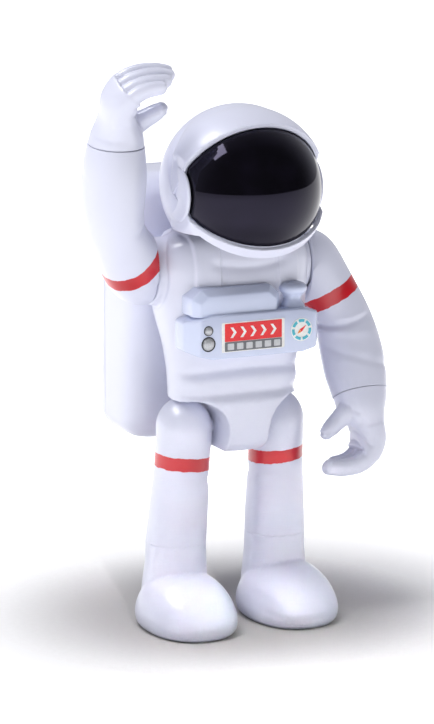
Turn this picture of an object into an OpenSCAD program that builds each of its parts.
// Toy astronaut action figure with turning head, lifting visor and jointed limbs.
// The figure faces -Y, its left side is +X, and it stands on Z = 0.
// Left-hand limbs are drawn hanging straight down; right-hand ones are mirror images.

/* [Pose] */
// Turn of the raised right arm about the shoulder axis, in degrees
right_arm_raise = 145; // [0:5:150]

/* [Helmet] */
// Height of the visor's pivot axis
visor_z = 84; // [83.5:0.1:84.5]
// Outer radius of the visor about its pivot axis
visor_r = 14.3; // [14.1:0.1:14.3]
// Wall thickness of the visor
visor_wall = 0.9; // [0.7:0.1:1.1]
visor_disc_r = 6.4;
// Radius of the helmet's dome
dome_r = 14.8; // [14.8:0.1:15.1]
// Radius of the round ear caps
ear_r = 5.3; // [4.8:0.1:5.6]

/* [Torso] */
// Height of the shoulder axis
shoulder_z = 68; // [67:0.5:69]
// Distance of the shoulder joint from the middle
shoulder_x = 15.8; // [15.7:0.1:16.0]
// Radius of the shoulder pins
shoulder_pin_r = 2; // [1.6:0.1:2.2]

/* [Legs] */
// Height of the hip axis
hip_z = 38.3; // [38:0.1:38.6]
// Distance of the middle of each thigh from the middle of the figure
hip_x = 9.6; // [9.5:0.1:9.8]
// Radius of the hip pins
hip_pin_r = 1.5; // [1.2:0.1:1.8]

/* [Backpack] */
// Half the width of the backpack
pack_half_x = 15; // [13:0.1:15]
// Height of the bottom of the backpack
pack_bottom = 32.8; // [32:0.2:38]
// Height of the top of the backpack
pack_top = 84.6; // [84:0.2:86]
// Radius of the backpack's rounded edges
pack_edge = 4.6; // [3:0.2:5]
// Wall thickness of the backpack shells
pack_wall = 1.1; // [0.9:0.1:1.5]

/* [Hidden] */
$fn = 48;

// Colours
suit_white = [0.87, 0.88, 0.93];
pack_white = [0.84, 0.87, 0.93];
skin_tan = [0.80, 0.62, 0.50];
badge_red = [0.80, 0.15, 0.22];
visor_black = [0.05, 0.05, 0.06];
knob_silver = [0.70, 0.71, 0.74];
steel_grey = [0.55, 0.56, 0.58];

// Running clearances
pin_gap = 0.05;
slide_gap = 0.25;

// Helmet
visor_y = -11.2;
dome_y = visor_y + 2.6;
dome_z = visor_z + 0.8;
visor_half_x = 12.9;
cavity_half_x = 13.2;
cavity_r = visor_r + slide_gap;
hood_r = cavity_r + 0.95;
visor_low = -39;
visor_high = 59;
hood_half_x = cavity_half_x + 0.5;
lip_low = -48;
hood_low = -120;
hood_back = 108;
helmet_edge_z = 77;
pivot_r = 1.2;
neck_y = -6.8;
neck_r = 2.4;
neck_flange = 0.8;
neck_top = 82;

// Torso
shoulder_y = -1.5;
torso_pad_r = 6.2;
torso_cavity = [19, 13, 21];
torso_cavity_low = [0, -3.5, 51];
screw_r = 0.8;
screw_head_r = 1.5;
screw_reach = 2.6;
torso_screw_z = [46.5, 74.4];

// Chest pack
pack_front_y = -17.5;
pack_back_y = -10.1;
pack_low_z = 53.5;
pack_mid_z = 61.8;
crown_h = 4.7;
crown_setback = 0.8;
crown_x = -12.6;
// Front outline of the upper block with its two cut corners, as [x, z]
crown = [[0, -1], [0, 3], [1.8, crown_h], [16, crown_h], [17.8, 3], [17.8, -1]];
label_low = [-7.6, 54.75];
label_size = [12.9, 5.6];
badge_at = [8.8, 57.8];
badge_r = 2.2;
knob_x = -10.3;
knob_z = [59.1, 56.6];
knob_r = [0.83, 1.25];
knob_reach = [0.6, 0.7];
chest_half_x = 13.8;
chest_face_x = 11.9;
chest_flat_x = 9.3;
chest_chamfer_y = -14.1;
valve_at = [8.5, -14.1];
plate_t = 0.35;

// Backpack
pack_front = 7.3;
pack_back = 25.5;
pack_seam = 20;
peg_z = [52, 66];
peg_shoulder = 1.2;
peg_root_y = 3.5;
post_x = 8;
post_z = 46;
post_r = 1.9;
peg_r = 2.2;

// Limbs
hip_y = -5;
thigh_half_x = 5.2;
thigh_r = 5.8;
leg_gap = 0.3;
boot_top = 16;
wrist = [25, -10, 42.6];
wrist_way = [0, -0.46, -0.89];
wrist_pin_r = 1.5;

// Room for a thigh as seen from the front, about the hip axis
leg_room = concat([[-thigh_half_x - leg_gap, -30], [thigh_half_x + leg_gap, -30]],
    [for (a = [0:7.5:180]) [(thigh_half_x + leg_gap) * cos(a), (thigh_r + leg_gap) * sin(a)]]);

// Stations are [x, y, z, half size along u, half size along v, squareness]
torso_stations = [
    [0, -5.2, 34.2, 6.0, 6.2, 2.4], [0, -5.3, 36.0, 10.0, 8.0, 2.4],
    [0, -5.4, 39.5, 11.6, 9.0, 2.4], [0, -5.4, 44.0, 12.1, 9.2, 2.4],
    [0, -5.4, 48.5, 12.4, 9.0, 2.4], [0, -5.0, 54.0, 13.0, 9.5, 2.5],
    [0, -4.3, 60.0, 14.3, 10.1, 2.6], [0, -3.7, 66.0, 15.2, 10.3, 2.6],
    [0, -3.7, 70.5, 15.2, 10.0, 2.6], [0, -4.1, 74.0, 13.2, 9.0, 2.4],
    [0, -4.9, 76.2, 9.0, 6.8, 2.2]];
arm_stations = [
    [shoulder_x + 0.1, shoulder_y, 68.0, 6.0, 6.0, 2.1], [17.4, -1.6, 67.4, 6.5, 6.3, 2.1],
    [19.6, -1.9, 64.6, 6.2, 6.1, 2.0], [22.1, -2.5, 61.0, 5.6, 5.5, 2.0],
    [24.2, -3.5, 56.8, 5.6, 5.4, 2.0], [25.0, -5.1, 52.2, 5.9, 5.9, 2.0],
    [25.1, -7.5, 47.2, 6.0, 5.9, 2.1], [wrist.x, wrist.y, wrist.z, 5.2, 5.2, 2.2]];
leg_stations = [
    [10.4, -2.9, boot_top, 5.6, 5.8, 2.2], [10.2, -3.3, 20.0, 5.5, 5.7, 2.2],
    [10.0, -3.9, 26.0, 5.3, 5.5, 2.1], [9.8, -4.5, 31.5, 5.2, 5.4, 2.0],
    [9.65, -4.9, 35.5, thigh_half_x, 5.6, 2.0], [hip_x, hip_y, hip_z, thigh_half_x, thigh_r, 2.0]];
ankle_stations = [
    [10.5, -2.5, 0.0, 6.0, 5.9, 2.2], [10.5, -2.5, 3.0, 6.4, 6.3, 2.2],
    [10.5, -2.6, 8.0, 6.1, 6.1, 2.2], [10.4, -2.8, 12.0, 5.7, 5.9, 2.2],
    [10.4, -2.9, boot_top, 5.6, 5.8, 2.2]];
toe_stations = [
    [10.6, -8.0, 0.0, 7.6, 10.6, 2.3], [10.6, -8.0, 0.9, 8.5, 11.5, 2.3],
    [10.6, -8.0, 2.8, 8.8, 11.8, 2.3], [10.6, -7.8, 5.0, 8.4, 11.2, 2.2],
    [10.6, -7.5, 7.2, 7.4, 9.8, 2.1], [10.6, -7.1, 9.0, 5.8, 7.6, 2.0],
    [10.6, -6.8, 10.2, 3.8, 5.0, 2.0], [10.6, -6.6, 10.7, 1.8, 2.4, 2.0]];
hand_stations = [
    [25.0, -10.13, 42.36, 5.0, 5.0, 2.2], [25.1, -10.8, 40.4, 4.6, 4.2, 2.3],
    [25.5, -11.5, 37.4, 4.4, 3.2, 2.5], [25.7, -12.1, 34.2, 4.3, 2.9, 2.6],
    [24.5, -12.5, 31.5, 4.2, 2.5, 2.6], [22.2, -12.6, 30.0, 4.1, 2.1, 2.6],
    [19.2, -12.6, 29.6, 4.0, 1.9, 2.6], [17.2, -12.6, 29.8, 3.6, 1.7, 2.6],
    [15.9, -12.6, 30.1, 2.6, 1.0, 2.4]];
thumb_stations = [
    [23.8, -11.8, 41.0, 1.7, 1.8, 2.0], [21.6, -11.9, 39.9, 2.1, 2.1, 2.0],
    [19.5, -11.7, 38.2, 1.9, 1.8, 2.0], [17.8, -11.5, 36.6, 1.7, 1.6, 2.0],
    [16.8, -11.4, 35.4, 1.1, 1.0, 2.0]];
head_stations = [
    [0, -9.7, 77.0, 4.8, 5.0, 2.2], [0, -10.4, 78.6, 6.2, 6.9, 2.2],
    [0, -10.7, 81.6, 7.3, 8.3, 2.1], [0, -10.7, 85.6, 7.8, 8.7, 2.1],
    [0, -10.4, 89.8, 7.2, 8.1, 2.1], [0, -10.1, 93.6, 4.8, 5.8, 2.0],
    [0, -10.0, 95.2, 2.0, 2.4, 2.0]];
spline_steps = 3;
ring_points = 36;

// Catmull-Rom curve through the stations
function between(p0, p1, p2, p3, t) = 0.5 * (2 * p1 + (p2 - p0) * t
    + (2 * p0 - 5 * p1 + 4 * p2 - p3) * t * t + (3 * p1 - p0 - 3 * p2 + p3) * t * t * t);
function spline(s, steps = spline_steps) = let (last = len(s) - 1) [
    for (k = [0:last - 1], j = [0:steps - 1])
        between(s[max(k - 1, 0)], s[k], s[k + 1], s[min(k + 2, last)], j / steps),
    s[last]];

function unit(v) = v / norm(v);
function spot(s) = [s[0], s[1], s[2]];
function power(x, p) = sign(x) * pow(abs(x), 2 / p);

// Superellipse of station s in the plane of u and v
function oval(s, u, v) = [for (i = [0:ring_points - 1]) let (t = 360 * i / ring_points)
    spot(s) + u * s[3] * power(cos(t), s[5]) + v * s[4] * power(sin(t), s[5])];

// Level rings, for pieces that stand up
function level_rings(s) = [for (r = s) oval(r, [1, 0, 0], [0, 1, 0])];

// Way along the curve at ring i; the two ends take the ways they are given
function way(s, i, first, final) = i == 0 ? unit(first) : i == len(s) - 1 ? unit(final)
    : unit(spot(s[i + 1]) - spot(s[i - 1]));
function across(d) = unit([0, 1, 0] - d * d.y);

// Rings square to the curve, with u near the Y axis
function swept_rings(s, first, final) = [for (i = [0:len(s) - 1])
    let (d = way(s, i, first, final), u = across(d)) oval(s[i], u, cross(d, u))];

// Closed skin over a list of rings that turn anticlockwise about their way
module skin(rings) {
    n = len(rings[0]);
    last = len(rings) - 1;
    polyhedron(points = [for (r = rings) each r], faces = concat(
        [[for (i = [0:n - 1]) i]],
        [for (k = [0:last - 1], i = [0:n - 1]) let (j = (i + 1) % n)
            each [[k * n + i, (k + 1) * n + j, k * n + j],
                [k * n + i, (k + 1) * n + i, (k + 1) * n + j]]],
        [[for (i = [n - 1:-1:0]) last * n + i]]));
}

// Turns a profile drawn as [radius, x] about the X axis
module about_x() rotate([0, 90, 0]) children();

// Cylinder along X from x1 to x2
module rod_x(r, x1, x2) translate([x1, 0, 0]) rotate([0, 90, 0]) cylinder(r = r, h = x2 - x1);

// Cylinder along Y from y1 to y2
module rod_y(r, y1, y2) translate([0, y1, 0]) rotate([-90, 0, 0]) cylinder(r = r, h = y2 - y1);

module mirrored() mirror([1, 0, 0]) children();

module at_visor_axis() translate([0, visor_y, visor_z]) children();

module at_shoulder_axis() translate([0, shoulder_y, shoulder_z]) children();

module at_hip_axis() translate([0, hip_y, hip_z]) children();

// Carries a hanging right arm up to its raised place
module raised() at_shoulder_axis() rotate([-right_arm_raise, 0, 0])
    translate([0, -shoulder_y, -shoulder_z]) children();

// Edge of a ball of radius r between -half_x and half_x, as [distance from the axis, x]
ball_bands = 16;
function ball_edge(r, half_x) = [for (i = [0:ball_bands])
    let (x = half_x * (2 * i / ball_bands - 1)) [sqrt(r * r - x * x), x]];

// Wedge of that ball slice between the angles a1 and a2 above the front
module barrel(r, half_x, a1, a2)
    rotate([0, 90, 0]) rotate([0, 0, 270 - a2]) rotate_extrude(angle = a2 - a1, $fn = 96)
        polygon(concat([[0, -half_x]], ball_edge(r, half_x), [[0, half_x]]));

// What is cut away below the helmet, as [y, z] about the visor axis
edge_drop = helmet_edge_z - visor_z;
below_lip = [[40, edge_drop], [edge_drop / tan(-lip_low), edge_drop],
    [-40 * cos(lip_low), 40 * sin(lip_low)], [-40 * cos(lip_low), -60], [40, -60]];

// Slice of a ball of radius r about the visor axis, as wide as twice half_x
module ball_slice(r, half_x) rotate([0, 90, 0]) rotate_extrude($fn = 96)
    polygon(concat([[0, -half_x]], ball_edge(r, half_x), [[0, half_x]]));

module torso_mass() difference() {
    union() {
        skin(level_rings(spline(torso_stations)));
        at_shoulder_axis() rod_x(torso_pad_r, -shoulder_x + 0.3, shoulder_x - 0.3);
    }
    translate(torso_cavity_low - [torso_cavity.x / 2, torso_cavity.y / 2, 0]) cube(torso_cavity);
    for (side = [-1, 1]) translate([side * hip_x, 30, hip_z]) rotate([90, 0, 0])
        linear_extrude(60) polygon(leg_room);
    at_shoulder_axis() rod_x(shoulder_pin_r + pin_gap, -20, 20);
    at_hip_axis() rod_x(hip_pin_r + pin_gap, -20, 20);
    translate([0, neck_y, 0]) cylinder(r = neck_r, h = 90);
    for (z = torso_screw_z) translate([0, 0, z]) {
        rod_y(screw_r, shoulder_y - screw_reach, 10);
        rod_y(screw_head_r, shoulder_y + 3, 12);
    }
}

module torso_front() color(suit_white) difference() {
    torso_mass();
    translate([-30, shoulder_y, 0]) cube([60, 60, 120]);
    chest_block();
    supply_valve_shape();
}

module torso_back() color(suit_white) {
    difference() {
        torso_mass();
        translate([-30, shoulder_y - 60, 0]) cube([60, 60, 120]);
    }
    // Pegs that carry the backpack, with a shoulder that it rests against
    for (z = peg_z) translate([0, 0, z]) {
        rod_y(peg_r + peg_shoulder, peg_root_y, pack_front);
        rod_y(peg_r, peg_root_y, pack_front + pack_wall + peg_shoulder);
    }
}

module torso_screws() color(steel_grey) for (z = torso_screw_z) translate([0, 0, z]) {
    rod_y(screw_r, shoulder_y - screw_reach, shoulder_y + 3);
    rod_y(screw_head_r, shoulder_y + 3, shoulder_y + 4.2);
}

module neck_post() color(suit_white) translate([0, neck_y, 0]) {
    translate([0, 0, torso_cavity_low.z + torso_cavity.z])
        cylinder(r = neck_r, h = neck_top - torso_cavity_low.z - torso_cavity.z);
    translate([0, 0, torso_cavity_low.z + torso_cavity.z - neck_flange])
        cylinder(r = neck_r + neck_flange, h = neck_flange);
}

// Cross-section of the chest block at x, from its back to its face
function block_ring(x, face, low, high) = [[x, pack_back_y, low], [x, pack_back_y, high],
    [x, face, high], [x, face, low]];

module chest_block() {
    skin([for (b = [[-chest_half_x, chest_chamfer_y, 1.4], [-chest_face_x, pack_front_y, 0.7],
            [-chest_flat_x, pack_front_y, 0], [chest_flat_x, pack_front_y, 0],
            [chest_face_x, pack_front_y, 0.7], [chest_half_x, chest_chamfer_y, 1.4]])
        block_ring(b[0], b[1], pack_low_z + b[2], pack_mid_z - b[2])]);
    translate([crown_x, pack_back_y, pack_mid_z]) rotate([90, 0, 0])
        linear_extrude(pack_back_y - pack_front_y - crown_setback) polygon(crown);
}

module chest_pack() color(pack_white) chest_block();

module supply_valve_shape() translate([valve_at.x, valve_at.y, pack_mid_z]) {
    cylinder(r = 1.5, h = 2.2);
    translate([0, 0, 2.2]) cylinder(r1 = 2.2, r2 = 2.6, h = 0.8);
    translate([0, 0, 3.0]) cylinder(r = 2.6, h = 0.9);
    translate([0, 0, 3.9]) cylinder(r1 = 2.6, r2 = 1.6, h = 0.7);
}

module supply_valve() color(pack_white) supply_valve_shape();

module label_plate() color(badge_red) translate([label_low.x, pack_front_y - plate_t, label_low.y])
    cube([label_size.x, plate_t, label_size.y]);

module round_badge() color(badge_red) translate([badge_at.x, 0, badge_at.y])
    rod_y(badge_r, pack_front_y - plate_t, pack_front_y);

// Knob n of the two, 0 the small upper one and 1 the large lower one
module knob(n) translate([knob_x, 0, knob_z[n]])
    rod_y(knob_r[n], pack_front_y - knob_reach[n], pack_front_y);

module knob_small() color(knob_silver) knob(0);

module knob_large() color(knob_silver) knob(1);

// Rounded box of the backpack, smaller all round by inset
module pack_solid(inset) {
    r = pack_edge - inset;
    middle = (pack_front + pack_back) / 2;
    half_y = (pack_back - pack_front) / 2 - inset;
    half_x = pack_half_x - inset;
    arc = [for (a = [-90:15:0]) [r * (1 - cos(a)), pack_bottom + inset + r * (1 + sin(a))]];
    top = [for (a = [0:15:90]) [r * (1 - cos(a)), pack_top - inset - r * (1 - sin(a))]];
    skin(level_rings([for (e = concat(arc, top))
        [0, middle, e[1], half_x - e[0], half_y - e[0], 5]]));
}

module backpack_hollow() difference() {
    pack_solid(0);
    pack_solid(pack_wall);
    for (z = peg_z) translate([0, 0, z]) rod_y(peg_r, 5, pack_front + 4);
}

// Screw posts of the backpack, from the front shell's wall to the seam
module pack_posts(y1, y2) for (side = [-1, 1]) translate([side * post_x, 0, post_z]) rod_y(post_r, y1, y2);

module backpack_front() color(suit_white) difference() {
    union() {
        difference() {
            backpack_hollow();
            translate([-30, pack_seam, 0]) cube([60, 30, 120]);
        }
        pack_posts(pack_front + 0.5, pack_seam);
    }
    for (side = [-1, 1]) translate([side * post_x, 0, post_z]) rod_y(screw_r, pack_seam - 5, pack_seam);
}

module backpack_back() color(suit_white) difference() {
    union() {
        difference() {
            backpack_hollow();
            translate([-30, pack_seam - 30, 0]) cube([60, 30, 120]);
        }
        pack_posts(pack_seam, pack_back - 0.5);
    }
    for (side = [-1, 1]) translate([side * post_x, 0, post_z]) {
        rod_y(screw_r, pack_seam, pack_back);
        rod_y(screw_head_r, pack_seam + 3.2, pack_back + 1);
    }
}

module backpack_screws() color(steel_grey)
    for (side = [-1, 1]) translate([side * post_x, 0, post_z]) {
        rod_y(screw_r, pack_seam - 5, pack_seam + 3.2);
        rod_y(screw_head_r, pack_seam + 3.2, pack_seam + 4.2);
    }

module helmet_shell() color(suit_white) difference() {
    union() {
        translate([0, dome_y, dome_z]) sphere(r = dome_r);
        at_visor_axis() barrel(hood_r, hood_half_x, visor_high, hood_back);
        at_visor_axis() barrel(hood_r, hood_half_x, hood_low, visor_low);
    }
    at_visor_axis() ball_slice(cavity_r, cavity_half_x);
    at_visor_axis() barrel(25, 20, visor_low, visor_high);
    at_visor_axis() rotate([90, 0, 90]) translate([0, 0, -30]) linear_extrude(60)
        polygon(below_lip);
    at_visor_axis() rod_x(pivot_r, -20, 20);
    at_visor_axis() for (side = [0, 1]) mirror([side, 0, 0]) rod_x(ear_r, cavity_half_x + 0.2, 20);
}

module head() color(skin_tan) difference() {
    skin(level_rings(spline(head_stations)));
    translate([0, neck_y, 70]) cylinder(r = neck_r + pin_gap, h = neck_top + 0.3 - 70);
}

module ear_cap() {
    rod_x(ear_r, cavity_half_x + 0.2, cavity_half_x + 0.75);
    rod_x(ear_r - 1.2, cavity_half_x + 0.2, cavity_half_x + 0.95);
    rod_x(pivot_r, visor_half_x - 1.6, cavity_half_x + 0.2);
}

module ear_cap_left() color(suit_white) at_visor_axis() ear_cap();

module ear_cap_right() color(suit_white) at_visor_axis() mirrored() ear_cap();

module visor() color(visor_black) at_visor_axis() difference() {
    union() {
        barrel(visor_r, visor_half_x, visor_low, visor_high);
        for (side = [0, 1]) mirror([side, 0, 0])
            rod_x(visor_disc_r, visor_half_x - visor_wall, visor_half_x);
    }
    ball_slice(visor_r - visor_wall, visor_half_x - visor_wall);
    rod_x(pivot_r + pin_gap, -20, 20);
}

module hanging_arm() difference() {
    skin(swept_rings(spline(arm_stations), [1, 0, 0], wrist_way));
    at_shoulder_axis() rod_x(20, 0, shoulder_x + 0.1);
    at_shoulder_axis() rod_x(shoulder_pin_r, 0, 21);
    wrist_hole();
}

// The wrist pin's place: at the wrist, along the forearm
module at_wrist() translate(wrist) rotate([acos(unit(wrist_way).z), 0, 0]) children();

module wrist_hole() at_wrist() translate([0, 0, -5]) cylinder(r = wrist_pin_r + pin_gap, h = 7);

module arm_left() color(suit_white) hanging_arm();

module arm_right() color(suit_white) raised() mirrored() hanging_arm();

module shoulder_pin() at_shoulder_axis() {
    rod_x(shoulder_pin_r, torso_cavity.x / 2 - 1.4, 21);
    rod_x(shoulder_pin_r + 1.2, torso_cavity.x / 2 - 1.5, torso_cavity.x / 2 - 0.1);
}

module shoulder_pin_left() color(steel_grey) shoulder_pin();

module shoulder_pin_right() color(steel_grey) raised() mirrored() shoulder_pin();

module hanging_glove() {
    skin(swept_rings(spline(hand_stations, 2), wrist_way, [-0.9, 0, 0.2]));
    skin(swept_rings(spline(thumb_stations, 2), [-1, -0.1, -0.2], [-0.6, 0.1, -0.8]));
}

module bored_glove() difference() {
    hanging_glove();
    hanging_wrist_pin();
}

module glove_left() color(suit_white) bored_glove();

module glove_right() color(suit_white) raised() mirrored() bored_glove();

module hanging_wrist_pin() at_wrist() translate([0, 0, -4.5]) cylinder(r = wrist_pin_r, h = 8);

module wrist_pin_left() color(steel_grey) hanging_wrist_pin();

module wrist_pin_right() color(steel_grey) raised() mirrored() hanging_wrist_pin();

// The thigh's round top, turned about the hip axis
function thigh_top() = [for (a = [10:10:80])
    [hip_x, hip_y, hip_z + thigh_r * sin(a), thigh_half_x * cos(a), thigh_r * cos(a), 2]];

module standing_leg() difference() {
    skin(level_rings(concat(spline(leg_stations), thigh_top())));
    at_hip_axis() rod_x(hip_pin_r, 0, hip_x);
}

module leg_left() color(suit_white) standing_leg();

module leg_right() color(suit_white) mirrored() standing_leg();

module hip_pin() at_hip_axis() rod_x(hip_pin_r, 0.4, hip_x);

module hip_pin_left() color(steel_grey) hip_pin();

module hip_pin_right() color(steel_grey) mirrored() hip_pin();

module standing_boot() {
    skin(level_rings(spline(ankle_stations)));
    skin(level_rings(spline(toe_stations)));
}

module boot_left() color(suit_white) standing_boot();

module boot_right() color(suit_white) mirrored() standing_boot();

torso_front();
torso_back();
torso_screws();
neck_post();
chest_pack();
supply_valve();
label_plate();
round_badge();
knob_small();
knob_large();
backpack_front();
backpack_back();
backpack_screws();
helmet_shell();
head();
ear_cap_right();
ear_cap_left();
visor();
arm_right();
arm_left();
shoulder_pin_right();
shoulder_pin_left();
glove_right();
glove_left();
wrist_pin_right();
wrist_pin_left();
leg_right();
leg_left();
hip_pin_right();
hip_pin_left();
boot_right();
boot_left();
